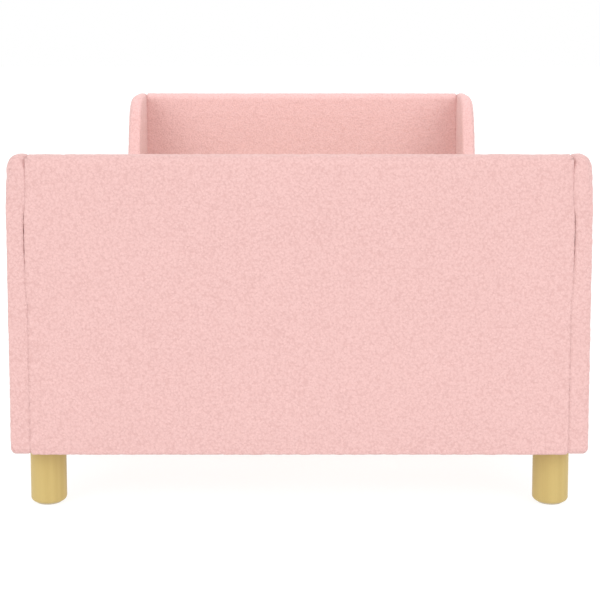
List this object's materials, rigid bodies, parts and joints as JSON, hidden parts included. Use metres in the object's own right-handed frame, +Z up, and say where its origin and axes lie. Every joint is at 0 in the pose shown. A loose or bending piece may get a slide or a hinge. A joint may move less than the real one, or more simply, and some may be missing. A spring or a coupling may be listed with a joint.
{
  "type": "toddler bed",
  "caption": "Low toddler bed with padded looped-pile end boards, curved side panels, a slat base and round wooden legs.",
  "frame": {"origin": "on the floor, under the middle of the bed", "axes": "+Z up, +Y from the foot end to the head end, +X to the right seen from the foot end"},
  "size_m": [0.76, 1.49, 0.475],
  "materials": {
    "boucle": "looped boucle pile",
    "foam": "open-cell foam",
    "plywood": "raw",
    "beech": "clear matt lacquer",
    "pine": "planed",
    "zinc_steel": "bright zinc plate",
    "felt": "pressed felt",
    "black_plastic": "moulded",
    "tape": "woven webbing"
  },
  "bodies": {
    "frame": {"footboard_core": "plywood", "footboard_foam": "foam", "footboard_cover": "boucle", "headboard_core": "plywood", "headboard_foam": "foam", "headboard_cover": "boucle", "left_side_core": "plywood", "left_side_foam": "foam", "left_side_cover": "boucle", "right_side_core": "plywood", "right_side_foam": "foam", "right_side_cover": "boucle", "foot_left_block": "pine", "foot_right_block": "pine", "head_left_block": "pine", "head_right_block": "pine", "foot_left_leg": "beech", "foot_right_leg": "beech", "head_left_leg": "beech", "head_right_leg": "beech", "foot_left_glide": "felt", "foot_right_glide": "felt", "head_left_glide": "felt", "head_right_glide": "felt", "leg_inserts": "zinc_steel", "leg_hanger_bolts": "zinc_steel", "frame_bolts": "zinc_steel", "frame_washers": "zinc_steel", "tee_nuts": "zinc_steel", "dowels": "beech", "left_ledger": "pine", "right_ledger": "pine", "ledger_screws": "zinc_steel", "centre_beam": "pine", "foot_beam_shoe": "zinc_steel", "head_beam_shoe": "zinc_steel", "shoe_screws": "zinc_steel", "centre_leg": "beech", "centre_leg_screw": "zinc_steel", "centre_leg_bush": "zinc_steel", "slat_01": "pine", "slat_02": "pine", "slat_03": "pine", "slat_04": "pine", "slat_05": "pine", "slat_06": "pine", "slat_07": "pine", "slat_08": "pine", "slat_09": "pine", "slat_10": "pine", "slat_11": "pine", "slat_12": "pine", "left_slat_tape": "tape", "right_slat_tape": "tape", "slat_screws": "zinc_steel"},
    "foot_pad": {"levelling_pad": "black_plastic"},
    "foot_stud": {"levelling_stud": "zinc_steel"}
  },
  "joints": [
    {"name": "foot_travel", "type": "slide", "parent": "frame", "child": "foot_pad", "axis": [0, 0, 1], "range_m": [-0.0042, 0.0084]},
    {"name": "foot_turn", "type": "hinge", "parent": "foot_pad", "child": "foot_stud", "pos_m": [0, 0, 0], "axis": [0, 0, 1], "range_deg": [-1080, 2160]}
  ],
  "couplings": [
    {"joint": "foot_travel", "follows": "foot_turn", "m_per_rad": 0.00019894}
  ]
}
